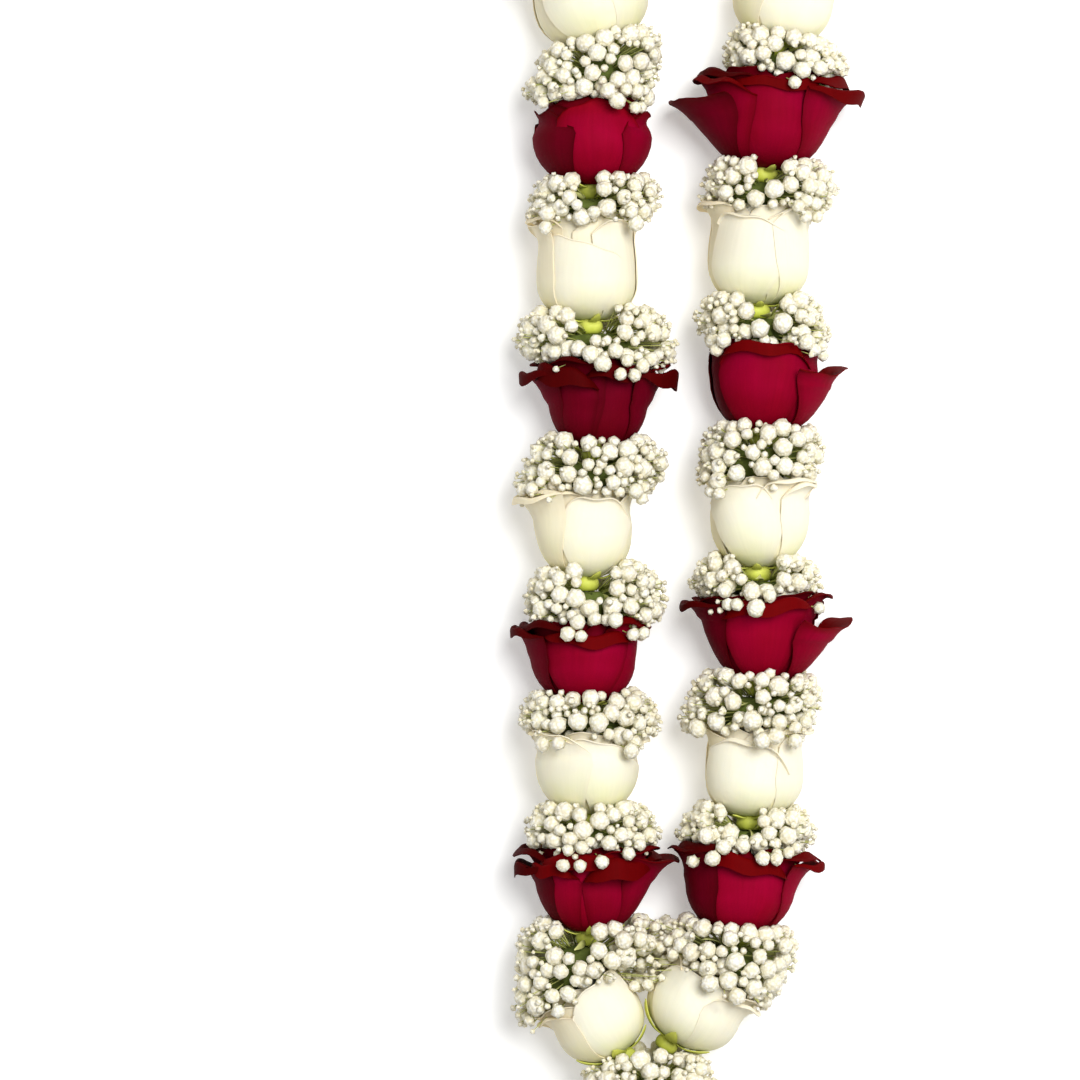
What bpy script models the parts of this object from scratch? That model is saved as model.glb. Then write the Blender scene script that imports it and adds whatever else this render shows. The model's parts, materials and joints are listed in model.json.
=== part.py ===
"""A wedding garland, laid flat: two strands of red and white roses threaded face up, with a
collar of baby's breath between each two, a round neck, and one rose that hangs below the V.

Metres, +Z up, the surface it lies on at z = 0, its neck towards +Y and its middle over the origin.
"""
import math
import random
from typing import NamedTuple

import bmesh
import bpy
import numpy as np
from mathutils import Matrix, Vector
from mathutils.bvhtree import BVHTree

MM = 0.001

# The thread: its height above the surface, its thickness, and its knots.
THREAD_HEIGHT = 27.5 * MM
THREAD_RADIUS = 0.9 * MM
THREAD_SIDES = 5
BORE_RADIUS = 1.6 * MM
BORE_SIDES = 5
V_KNOT_RADIUS = 2.8 * MM
TAIL_KNOT_RADIUS = 2.4 * MM

# A rose, measured along its axis from the cut under its hip: how much of it its collar hides,
# and its hip and bowl as shares of the bloom's radius.
HIDDEN_BASE = 8 * MM
HIP_LENGTH = 6 * MM
HIP_SHARE = 0.25
HIP_CUT_SHARE = 0.8
HIP_WIDEST = 4.2 * MM
NECK_SHARE = 0.2
BOWL_SHARE = 0.8
RIM_DROP = 1 * MM

# The roses of each strand, from the V upwards: x and y of the middle of what shows of a bloom,
# its lean from +Y in degrees, its radius, its length with the hip, and how far its lips flare
# towards the viewer, to the left and to the right, all in millimetres.
LEFT_STRAND = (
    (-41.0, -260.0, -34, 20.5, 42, 3.0, 3.5, 2.0),
    (-45.0, -201.5, 0, 24.0, 45, 7.0, 12.0, 12.0),
    (-46.0, -149.5, 1, 22.7, 43, 3.0, 4.0, 4.5),
    (-47.0, -99.0, 0, 25.3, 44, 5.0, 8.0, 4.0),
    (-47.0, -41.5, -1, 23.0, 46, 3.0, 8.5, 4.0),
    (-41.5, 16.0, 2, 24.0, 46, 7.0, 14.0, 13.0),
    (-46.0, 77.5, -2, 23.7, 53, 3.0, 4.0, 4.0),
    (-44.0, 135.0, 0, 26.0, 47, 3.5, 3.5, 3.0),
    (-45.0, 197.5, -14, 24.0, 47, 3.0, 4.0, 4.0),
)
RIGHT_STRAND = (
    (2.0, -254.5, 35, 20.5, 42, 3.0, 2.0, 3.5),
    (22.5, -201.7, 5, 24.3, 46, 6.0, 8.0, 13.0),
    (28.0, -148.5, 2, 23.8, 47, 3.0, 4.0, 4.0),
    (32.5, -89.0, 0, 25.5, 46, 6.0, 11.0, 9.0),
    (30.5, -37.0, 0, 24.0, 46, 3.0, 4.0, 5.5),
    (33.5, 24.0, 0, 26.0, 48, 5.0, 6.5, 7.0),
    (30.5, 83.5, 1, 24.2, 51, 3.0, 4.0, 4.0),
    (35.0, 143.5, 4, 26.0, 49, 7.0, 14.0, 16.0),
    (43.0, 199.0, 14, 24.0, 47, 3.0, 4.0, 4.0),
)

# The roses that carry the left strand on round the neck, and how they open. The right strand
# has the same ones, mirrored about the neck's own line.
NECK_PLACES = ((-64.0, 255.0, -12), (-66.0, 313.0, 16), (-30.0, 357.0, 64))
NECK_BLOOM = (24.0, 46, 4.5, 5.0, 5.0)
NECK_LINE = -1.0

# The knot of the V, the rose that hangs from it, and the length of thread below that rose.
V_KNOT = (-18.5, -284.0)
PENDANT = (-18.5, -318.0, 0, 24.5, 47, 6.0, 9.0, 10.0)
TAIL_LENGTH = 17 * MM

# What lies over the origin, in the coordinates of the tables above.
MIDDLE = (-1.0, 12.0)

# The outer petals: how many there are, their columns and rows, how each laps over the next, and
# how much they differ in degrees and in height.
PETALS = 5
PETAL_COLUMNS = (-1.0, 0.0, 1.0)
BOWL_ANGLES = (30, 72)
BODY_TAPER = 1.0 * MM
OVERLAP_STEP = 6.0
SHINGLE = 0.9 * MM
SHINGLE_SHARES = (1, 1, 0.8, 0.3)
TURN_SPREAD = 9.0
STEP_SPREAD = 1.5
RISE_SPREAD = 0.8 * MM

# Their lips: how far one is rolled outwards, which grows with its flare, how much less it flares
# at its corners and underneath the rose, and how much lower its corners are than its middle.
LIP_ROLL = 35.0
ROLL_PER_MM = 4.6
LONGEST_ROLLED = 15 * MM
CORNER_LOSS = 0.25
UNDERSIDE_LOSS = 0.45
CORNER_DROP = 1.5 * MM
CORNER_DROP_SHARE = 0.16
LIP_THICKNESS = 1.6 * MM
WALL_THICKNESS = 3.4 * MM

# Inside them: the groove, the scalloped rim of the inner petals, and the middle of the flower.
GROOVE_SHARE = 0.68
GROOVE_DEPTH = 13 * MM
INNER_RIM_SHARE = 0.5
INNER_RIM_DEPTH = 4.5 * MM
INNER_SCALLOP = 1.5 * MM
MIDDLE_SHARE = 0.2
MIDDLE_DEPTH = 8 * MM
MIDDLE_BORE_DEPTH = 10 * MM

# A collar of baby's breath: its rings, as radius and height in millimetres, first from the open
# face of the flower before it, then from the hip of the one after it, or at the neck from a face.
COLLAR_COLUMNS = 10
FACE_RINGS = ((10.0, 0.8), (18.0, -2.5), (25.0, 2.0))
HIP_RINGS = ((24.5, 1.0), (15.5, 5.0), (9.0, -0.8))
NECK_RINGS = ((25.0, -2.0), (18.0, 2.5), (10.0, -0.8))
COLLAR_BORE_RADIUS = 2.4 * MM
LEAD = 1.8 * MM

# Its florets: how tall and how wide they are, how much they differ, and the sizes tried.
FLORET_RISE = 6.5 * MM
FLORET_SPREAD = 0.75
RISE_DIFFERENCE = 0.15
SPREAD_DIFFERENCE = 0.1
FLORET_SCALES = (1, 0.85, 0.7, 0.55, 0.4)

# How a collar is kept in its gap: its share of the way to the middle, its distance from the
# roses, and the size and most of the steps by which it is drawn in.
OWN_HALF = 0.9
CLEARANCE = 0.8 * MM
DRAW_STEP = 0.05
MOST_DRAWS = 12

# Petals nearer the surface than the first height are eased up to stay above the second.
PRESS_DEPTH = 6 * MM
FLOOR_GAP = 0.4 * MM

CREASE_ANGLE = math.radians(40)
SEED = 11
COLOURS = {
    "red": ((0.36, 0.005, 0.028, 1), 0.55),
    "white": ((0.90, 0.87, 0.74, 1), 0.5),
    "baby_breath": ((0.88, 0.88, 0.82, 1), 0.65),
    "cotton": ((0.80, 0.77, 0.68, 1), 0.85),
}


def clear_scene():
    for leftover in list(bpy.data.objects):
        bpy.data.objects.remove(leftover)


def material(name):
    """The Principled material of that name, made once."""
    if name in bpy.data.materials:
        return bpy.data.materials[name]
    colour, roughness = COLOURS[name]
    made = bpy.data.materials.new(name)
    made.use_nodes = True
    shader = made.node_tree.nodes["Principled BSDF"]
    shader.inputs["Base Color"].default_value = colour
    shader.inputs["Roughness"].default_value = roughness
    shader.inputs["Metallic"].default_value = 0.0
    return made


def mesh_object(name, points, faces, finish):
    """A linked object of one material, holding these points and faces, smooth but for creases."""
    mesh = bpy.data.meshes.new(name)
    mesh.from_pydata([tuple(p) for p in points], [], faces)
    mesh.materials.append(material(finish))
    mesh.update()
    mesh.shade_smooth()
    mesh.set_sharp_from_angle(angle=CREASE_ANGLE)
    made = bpy.data.objects.new(name, mesh)
    bpy.context.scene.collection.objects.link(made)
    return made


def flower_frame(x, y, lean):
    """A frame on the thread: local Z along it, local Y towards +Z, its lean from +Y in degrees."""
    angle = math.radians(lean)
    axis = Vector((math.sin(angle), math.cos(angle), 0))
    up = Vector((0, 0, 1))
    frame = Matrix((up.cross(axis), up, axis)).transposed().to_4x4()
    frame.translation = (x, y, THREAD_HEIGHT)
    return frame


def placed(points, frame):
    matrix = np.array(frame)
    return np.asarray(points) @ matrix[:3, :3].T + matrix[:3, 3]


def pressed(points):
    """The points with those near the surface eased upwards, so that none reaches into it."""
    room = PRESS_DEPTH - FLOOR_GAP
    points = points.copy()
    z = points[..., 2]
    low = FLOOR_GAP + room * np.exp((np.minimum(z, PRESS_DEPTH) - PRESS_DEPTH) / room)
    points[..., 2] = np.where(z < PRESS_DEPTH, low, z)
    return points


def around(radius, height, count, turn=0.0):
    """A ring of points at one radius and height, in a flower's own frame."""
    angles = [math.tau * k / count + turn for k in range(count)]
    return np.array([(radius * math.cos(a), radius * math.sin(a), height) for a in angles])


class Bloom(NamedTuple):
    """Where one rose sits on the thread and how it opens, in metres and degrees."""
    x: float
    y: float
    lean: float
    radius: float
    length: float
    front: float
    left: float
    right: float

    def frame(self):
        """Its own frame: local Z along its axis, and the cut under its hip at the origin."""
        start = -(self.length - RIM_DROP + HIDDEN_BASE) / 2
        return flower_frame(self.x, self.y, self.lean) @ Matrix.Translation((0, 0, start))

    def face(self):
        """The frame of its open face: local Z out of the flower."""
        return self.frame() @ Matrix.Translation((0, 0, self.length))


def on_table(x, y):
    """Metres from the origin, for millimetres in the coordinates of the tables above."""
    return (x - MIDDLE[0]) * MM, (y - MIDDLE[1]) * MM


def bloom_of(x, y, lean, *lengths):
    """A bloom from a row of the tables above, in millimetres and degrees."""
    return Bloom(*on_table(x, y), lean, *(length * MM for length in lengths))


class Skin:
    """Rings of points joined one to the next into one closed skin."""

    def __init__(self):
        self.points = []
        self.faces = []

    def ring(self, points):
        start = len(self.points)
        self.points += [Vector(p) for p in points]
        return list(range(start, len(self.points)))

    def bridge(self, low, high, flip=False):
        """Joins two rings whose sizes are equal, or one a multiple of the other."""
        count = min(len(low), len(high))
        a, b = len(low) // count, len(high) // count
        for k in range(count):
            for i in range(a - 1):
                self.faces.append((low[a * k + i], low[a * k + i + 1], high[b * k]))
            for i in range(b - 1):
                self.faces.append((low[a * k], high[b * k + i + 1], high[b * k + i]))
            p, q = low[a * k + a - 1], low[a * (k + 1) % len(low)]
            s, r = high[b * k + b - 1], high[b * (k + 1) % len(high)]
            self.faces += [(p, q, s), (q, r, s)] if flip else [(p, q, r), (p, r, s)]

    def ease_off(self, open_faces, movable, centre, others):
        """Draws in the movable points of every face that meets one of the others."""
        faces = self.faces + open_faces
        for _ in range(MOST_DRAWS):
            pairs = BVHTree.FromPolygons(self.points, faces).overlap(others)
            for i in {i for face, _ in pairs for i in faces[face]} & movable:
                self.points[i] = self.points[i].lerp(centre, DRAW_STEP)


def flare_at(bloom, azimuth):
    """How far a lip flares at an azimuth: its own way to each side, less where it is lain on."""
    side = math.cos(azimuth)
    sideways = bloom.left if side > 0 else bloom.right
    flare = bloom.front + (sideways - bloom.front) * side * side
    return flare * (1 + UNDERSIDE_LOSS * min(0, math.sin(azimuth)))


def petal_column(bloom, azimuth, u, rise):
    """Points up one column of an outer petal: its bowl, then the start and the edge of its lip."""
    neck = NECK_SHARE * bloom.radius
    bowl_height = BOWL_SHARE * bloom.radius
    profile = []
    for angle in BOWL_ANGLES:
        a = math.radians(angle)
        radius = neck + (bloom.radius - neck) * math.sin(a)
        profile.append((radius, HIP_LENGTH + bowl_height * (1 - math.cos(a))))
    flare = flare_at(bloom, azimuth) * (1 - CORNER_LOSS * abs(u))
    roll = math.radians(LIP_ROLL + ROLL_PER_MM * min(flare, LONGEST_ROLLED) / MM)
    bend = flare / (1 - math.cos(roll))
    start = bloom.radius - BODY_TAPER
    drop = (CORNER_DROP + CORNER_DROP_SHARE * flare) * abs(u)
    rim = bloom.length - RIM_DROP + rise - drop
    profile.append((start, rim - bend * math.sin(min(roll, math.pi / 2))))
    profile.append((start + flare, rim - bend * (1 - math.sin(max(roll, math.pi / 2)))))
    points = []
    for (radius, height), share in zip(profile, SHINGLE_SHARES):
        r = radius + SHINGLE * share * u
        points.append((r * math.cos(azimuth), r * math.sin(azimuth), height))
    return points


def outer_petals(bloom, rng):
    """The outside of a rose, as rows by petals by columns by 3, the first petal facing up."""
    half = math.pi / PETALS - math.radians(OVERLAP_STEP / 2)
    turn = 90 + rng.uniform(-TURN_SPREAD, TURN_SPREAD)
    petals = []
    for k in range(PETALS):
        step = rng.uniform(-STEP_SPREAD, STEP_SPREAD)
        middle = math.radians(turn + 360 * k / PETALS + step)
        rise = rng.uniform(-RISE_SPREAD, 0)
        petals.append([petal_column(bloom, middle + u * half, u, rise) for u in PETAL_COLUMNS])
    return np.array(petals).transpose(2, 0, 1, 3)


def inner_side(grid, row, depth):
    """A row of the petals' inner side, at this depth under the outer one."""
    rings = grid.reshape(len(grid), -1, 3)
    along = np.gradient(rings, axis=0)[row]
    across = np.roll(rings[row], -1, axis=0) - np.roll(rings[row], 1, axis=0)
    normal = np.cross(across, along)
    normal /= np.linalg.norm(normal, axis=-1, keepdims=True)
    return rings[row] - normal * depth


def inner_whorl(bloom, turn):
    """The groove inside the outer petals, and the scalloped rim of the petals within it."""
    count = PETALS * len(PETAL_COLUMNS)
    groove = around(GROOVE_SHARE * bloom.radius, bloom.length - GROOVE_DEPTH, count, turn)
    rim = around(INNER_RIM_SHARE * bloom.radius, bloom.length - INNER_RIM_DEPTH, count, turn)
    rim[:, 2] += INNER_SCALLOP * np.cos(math.tau * np.arange(count) / len(PETAL_COLUMNS))
    return groove, rim


def rose(name, bloom, finish, rng):
    """One rose: its hip, five overlapping petals with flared lips, a whorl inside, a bore."""
    frame = bloom.frame()
    petals = outer_petals(bloom, rng)
    grid = pressed(placed(petals, frame))
    turn = math.atan2(petals[0, 0, 0, 1], petals[0, 0, 0, 0])
    skin = Skin()
    hip = HIP_SHARE * bloom.radius
    outside = [
        around(BORE_RADIUS, 0, BORE_SIDES, turn),
        around(HIP_CUT_SHARE * hip, 0, PETALS, turn),
        around(hip, HIP_WIDEST, PETALS, turn),
    ]
    rings = [skin.ring(placed(ring, frame)) for ring in outside]
    rings += [skin.ring(row.reshape(-1, 3)) for row in grid]
    for low, high in zip(rings, rings[1:]):
        skin.bridge(low, high)
    groove, rim = inner_whorl(bloom, turn)
    middle = around(MIDDLE_SHARE * bloom.radius, bloom.length - MIDDLE_DEPTH, BORE_SIDES, turn)
    bore = around(BORE_RADIUS, bloom.length - MIDDLE_BORE_DEPTH, BORE_SIDES, turn)
    inside = [inner_side(grid, -1, LIP_THICKNESS), inner_side(grid, -2, WALL_THICKNESS)]
    inside += [placed(ring, frame) for ring in (groove, rim, middle, bore)]
    inner = [rings[-1]] + [skin.ring(ring) for ring in inside] + [rings[0]]
    for low, high in zip(inner, inner[1:]):
        skin.bridge(low, high, flip=True)
    return mesh_object(name, skin.points, skin.faces, finish)


def tree_of(objects):
    """One search tree over the surfaces of several objects, all in world space."""
    points, faces = [], []
    for thing in objects:
        start = len(points)
        points += [v.co.copy() for v in thing.data.vertices]
        faces += [[start + i for i in polygon.vertices] for polygon in thing.data.polygons]
    return BVHTree.FromPolygons(points, faces)


def kept_clear(point, centre, blooms):
    """The point, drawn back towards the collar's centre until it is clear of every bloom."""
    away = point - centre
    hit = blooms.ray_cast(centre, away.normalized(), away.length + CLEARANCE)[3]
    if hit is not None:
        point = centre + away.normalized() * (hit - CLEARANCE)
    while blooms.find_nearest(point)[3] < CLEARANCE:
        point = point.lerp(centre, DRAW_STEP)
    point.z = max(point.z, 0)
    return point


def own_half(point, flower, centre, axis):
    """The point, drawn in towards its own flower where it would pass the collar's middle."""
    past = (point - flower).dot(axis) / (centre - flower).dot(axis)
    return point if past < OWN_HALF else flower.lerp(point, OWN_HALF / past)


def meets(points, faces, tree, corners):
    """Whether these faces meet those of a tree, apart from ones that share a corner with them."""
    for mine, other in BVHTree.FromPolygons(points, faces).overlap(tree):
        if not corners or not set(faces[mine]) & set(corners[other]):
            return True
    return False


def floret(skin, base, blooms, rng):
    """One floret of baby's breath, as an eight-sided ball that stands on a facet of a skin. It
    is made smaller until it is clear of the roses and of the florets before it."""
    corners = [skin.points[i] for i in base]
    middle = (corners[0] + corners[1] + corners[2]) / 3
    out = (corners[1] - corners[0]).cross(corners[2] - corners[0]).normalized()
    rise = FLORET_RISE * rng.uniform(1 - RISE_DIFFERENCE, 1 + RISE_DIFFERENCE)
    spread = FLORET_SPREAD * rng.uniform(1 - SPREAD_DIFFERENCE, 1 + SPREAD_DIFFERENCE)
    count = len(skin.points)
    a, b, c = base
    d, e, f = range(count, count + 3)
    faces = [(a, b, f), (b, c, d), (c, a, e), (a, f, e), (b, d, f), (c, e, d), (d, e, f)]
    own = BVHTree.FromPolygons(skin.points, skin.faces)
    for scale in FLORET_SCALES:
        tops = [middle + (out * rise + (middle - corner) * spread) * scale for corner in corners]
        for top in tops:
            top.z = max(top.z, 0)
        points = skin.points + tops
        near = min(blooms.find_nearest(top)[3] for top in tops)
        if near > CLEARANCE and not meets(points, faces, blooms, None):
            if not meets(points, faces, own, skin.faces):
                skin.points += tops
                skin.faces += faces
                return
    skin.faces.append(base)


def collar(name, low, high, high_rings, blooms, rng):
    """A collar of baby's breath round the thread, from the frame of the face before it to that
    of the hip or face after it, with a floret on every second facet of its outside."""
    start = low @ Vector((0, 0, LEAD))
    end = high @ Vector((0, 0, -LEAD))
    centre = (start + end) / 2
    along = (end - start).normalized()
    frame = flower_frame(*centre.xy, math.degrees(math.atan2(along.x, along.y)))
    axis = low.col[2].xyz + high.col[2].xyz
    skin = Skin()
    reach = (end - start).length / 2
    bores = ((-reach, COLLAR_BORE_RADIUS), (0, BORE_RADIUS), (reach, COLLAR_BORE_RADIUS))
    bores = [skin.ring(placed(around(r, z, BORE_SIDES), frame)) for z, r in bores]
    rows = [(low, ring) for ring in FACE_RINGS] + [(high, ring) for ring in high_rings]
    rings = []
    for row, (place, (radius, height)) in enumerate(rows):
        turn = math.pi * row / COLLAR_COLUMNS
        ring = placed(around(radius * MM, height * MM, COLLAR_COLUMNS, turn), place)
        ring = [own_half(Vector(p), place.translation, centre, axis) for p in ring]
        rings.append(skin.ring([kept_clear(p, centre, blooms) for p in ring]))
    # Each ring is turned by half a column, so the last one starts a quarter of the way round.
    quarter = COLLAR_COLUMNS // 4
    last = rings[-1][-quarter:] + rings[-1][:-quarter]
    for a, b in ((bores[0], rings[0]), (rings[0], rings[1]), (rings[-2], rings[-1]),
                 (last, bores[2]), (bores[2], bores[1]), (bores[1], bores[0])):
        skin.bridge(a, b)
    stands = []
    for a, b in zip(rings[1:], rings[2:-1]):
        for k in range(COLLAR_COLUMNS):
            after = (k + 1) % COLLAR_COLUMNS
            skin.faces.append((a[after], b[after], b[k]))
            stands.append((a[k], a[after], b[k]))
    skin.ease_off(stands, set(sum(rings, [])), centre, blooms)
    for facet in stands:
        floret(skin, facet, blooms, rng)
    return mesh_object(name, skin.points, skin.faces, "baby_breath")


def strand_blooms():
    """Every rose of both strands, from the V up and round the neck."""
    strands = []
    for side, strand in ((1, LEFT_STRAND), (-1, RIGHT_STRAND)):
        blooms = [bloom_of(*row) for row in strand]
        for x, y, lean in NECK_PLACES:
            x = NECK_LINE + side * (x - NECK_LINE)
            blooms.append(bloom_of(x, y, side * lean, *NECK_BLOOM))
        strands.append(blooms)
    return strands


def tube(name, route):
    """A closed tube of thread along a route of points at one height."""
    points, faces = [], []
    up = Vector((0, 0, 1))
    last = len(route) - 1
    for i, here in enumerate(route):
        along = (route[min(i + 1, last)] - route[max(i - 1, 0)]).normalized()
        side = up.cross(along)
        for k in range(THREAD_SIDES):
            angle = math.tau * k / THREAD_SIDES
            points.append(here + THREAD_RADIUS * (side * math.cos(angle) + up * math.sin(angle)))
    rings = [range(i * THREAD_SIDES, (i + 1) * THREAD_SIDES) for i in range(last + 1)]
    for low, high in zip(rings, rings[1:]):
        for k in range(THREAD_SIDES):
            after = (k + 1) % THREAD_SIDES
            faces.append((low[k], low[after], high[after], high[k]))
    faces.append(tuple(reversed(rings[0])))
    faces.append(tuple(rings[-1]))
    return mesh_object(name, points, faces, "cotton")


def knot(name, centre, radius):
    """A small tied knot, as a ball of thread."""
    shape = bmesh.new()
    bmesh.ops.create_icosphere(shape, subdivisions=1, radius=radius)
    bmesh.ops.translate(shape, vec=centre, verts=shape.verts)
    ball = mesh_object(name, [], [], "cotton")
    shape.to_mesh(ball.data)
    shape.free()
    return ball


def joined(base, others):
    """base with the other solids united to it and removed."""
    group = bpy.data.collections.new("joined")
    bpy.context.scene.collection.children.link(group)
    for other in others:
        bpy.context.scene.collection.objects.unlink(other)
        group.objects.link(other)
    union = base.modifiers.new("union", "BOOLEAN")
    union.operation = "UNION"
    union.operand_type = "COLLECTION"
    union.collection = group
    graph = bpy.context.evaluated_depsgraph_get()
    mesh = bpy.data.meshes.new_from_object(base.evaluated_get(graph))
    base.modifiers.clear()
    base.data = mesh
    for other in others:
        bpy.data.objects.remove(other)
    bpy.data.collections.remove(group)
    return base


def route_through(bloom):
    """The thread's points on a rose: a little before its hip and a little past its face."""
    low = bloom.frame() @ Vector((0, 0, -LEAD))
    return [low, bloom.face() @ Vector((0, 0, LEAD))]


def thread(strands, pendant):
    """The one thread: up the left strand, round the neck and down the right one to the knot
    of the V, and from there through the hanging rose to the knot at its end."""
    tie = Vector((*on_table(*V_KNOT), THREAD_HEIGHT))
    left, right = ([end for bloom in strand for end in route_through(bloom)] for strand in strands)
    end = pendant.frame().translation - Vector((0, TAIL_LENGTH, 0))
    loop = [tie] + left + right[::-1] + [tie + Vector((THREAD_RADIUS / 2, 0, 0))]
    return joined(tube("thread", loop), [
        tube("thread_tail", [tie, end]),
        knot("thread_v_knot", tie, V_KNOT_RADIUS),
        knot("thread_tail_knot", end, TAIL_KNOT_RADIUS),
    ])


def build():
    clear_scene()
    strands = strand_blooms()
    pendant = bloom_of(*PENDANT)
    roses = []
    for side, strand in zip(("left", "right"), strands):
        for k, bloom in enumerate(strand):
            finish = "red" if k % 2 else "white"
            rng = random.Random(f"{SEED} rose {side} {k}")
            roses.append(rose(f"{finish}_rose_{side}_{k + 1:02d}", bloom, finish, rng))
    roses.append(rose("red_rose_pendant", pendant, "red", random.Random(f"{SEED} pendant")))
    tree = tree_of(roses)
    x, y = on_table(*V_KNOT)
    above_pendant = flower_frame(x, y - V_KNOT_RADIUS, 0)
    below = pendant.frame() @ Matrix.Translation((0, 0, TAIL_KNOT_RADIUS - TAIL_LENGTH))
    turned = Matrix.Rotation(math.pi, 4, "Y")
    gaps = {
        "neck": (strands[0][-1].face(), strands[1][-1].face() @ turned),
        "v": (pendant.face(), above_pendant),
        "tail": (below, pendant.frame()),
    }
    for side, strand in zip(("left", "right"), strands):
        for k, (before, after) in enumerate(zip(strand, strand[1:])):
            gaps[f"{side}_{k + 1:02d}"] = (before.face(), after.frame())
    for name, (low, high) in gaps.items():
        rng = random.Random(f"{SEED} collar {name}")
        rings = NECK_RINGS if name == "neck" else HIP_RINGS
        collar(f"baby_breath_{name}", low, high, rings, tree, rng)
    thread(strands, pendant)


build()
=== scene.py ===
"""The looks of the wedding garland: roses with thin petals in layers, and ruffled florets."""

import json
import random
from math import cos, dist, pi, radians, sin, tau
from typing import NamedTuple

import bpy
import numpy as np
from mathutils import Matrix, Vector
from mathutils.bvhtree import BVHTree

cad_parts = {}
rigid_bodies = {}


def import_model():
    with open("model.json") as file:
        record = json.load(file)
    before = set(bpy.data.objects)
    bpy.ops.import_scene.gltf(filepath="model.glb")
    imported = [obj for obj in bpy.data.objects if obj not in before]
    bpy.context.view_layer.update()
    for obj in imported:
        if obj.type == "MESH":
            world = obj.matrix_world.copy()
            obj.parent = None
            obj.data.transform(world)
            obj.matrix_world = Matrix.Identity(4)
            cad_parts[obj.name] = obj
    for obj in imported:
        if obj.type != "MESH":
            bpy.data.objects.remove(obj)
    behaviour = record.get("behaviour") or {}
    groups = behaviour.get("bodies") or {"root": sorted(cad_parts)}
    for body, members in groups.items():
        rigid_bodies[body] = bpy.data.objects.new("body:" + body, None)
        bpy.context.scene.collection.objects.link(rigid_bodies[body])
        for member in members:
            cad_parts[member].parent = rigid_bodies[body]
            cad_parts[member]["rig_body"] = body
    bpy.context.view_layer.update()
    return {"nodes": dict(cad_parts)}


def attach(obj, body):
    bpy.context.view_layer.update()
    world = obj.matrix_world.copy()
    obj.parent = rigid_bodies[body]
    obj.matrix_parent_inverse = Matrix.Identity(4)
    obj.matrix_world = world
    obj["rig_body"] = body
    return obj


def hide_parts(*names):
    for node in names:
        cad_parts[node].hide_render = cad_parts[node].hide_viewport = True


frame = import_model()

MM = 0.001
SEED = 11

# The materials of a piece, in order: its petals or florets, its green parts and its core.
MAIN, GREEN, CORE = range(3)

# The same places and sizes as the CAD model's, in millimetres and degrees: x, y, lean, radius,
# length with the hip, and how far the lips flare to the front, left and right.
THREAD_HEIGHT = 27.5 * MM
HIDDEN_BASE = 8 * MM
HIP_LENGTH = 6 * MM
RIM_DROP = 1 * MM
LEFT_STRAND = (
    (-41, -260, -34, 20.5, 42, 3, 3.5, 2),
    (-45, -201.5, 0, 24, 45, 7, 12, 12),
    (-46, -149.5, 1, 22.7, 43, 3, 4, 4.5),
    (-47, -99, 0, 25.3, 44, 5, 8, 4),
    (-47, -41.5, -1, 23, 46, 3, 8.5, 4),
    (-41.5, 16, 2, 24, 46, 7, 14, 13),
    (-46, 77.5, -2, 23.7, 53, 3, 4, 4),
    (-44, 135, 0, 26, 47, 3.5, 3.5, 3),
    (-45, 197.5, -14, 24, 47, 3, 4, 4),
)
RIGHT_STRAND = (
    (2, -254.5, 35, 20.5, 42, 3, 2, 3.5),
    (22.5, -201.7, 5, 24.3, 46, 6, 8, 13),
    (28, -148.5, 2, 23.8, 47, 3, 4, 4),
    (32.5, -89, 0, 25.5, 46, 6, 11, 9),
    (30.5, -37, 0, 24, 46, 3, 4, 5.5),
    (33.5, 24, 0, 26, 48, 5, 6.5, 7),
    (30.5, 83.5, 1, 24.2, 51, 3, 4, 4),
    (35, 143.5, 4, 26, 49, 7, 14, 16),
    (43, 199, 14, 24, 47, 3, 4, 4),
)
NECK_PLACES = ((-64, 255, -12), (-66, 313, 16), (-30, 357, 64))
NECK_BLOOM = (24, 46, 4.5, 5, 5)
NECK_LINE = -1
V_KNOT = (-18.5, -284)
V_KNOT_RADIUS = 2.8 * MM
PENDANT = (-18.5, -318, 0, 24.5, 47, 6, 9, 10)
TAIL_LENGTH = 17 * MM
MIDDLE = (-1, 12)

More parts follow.
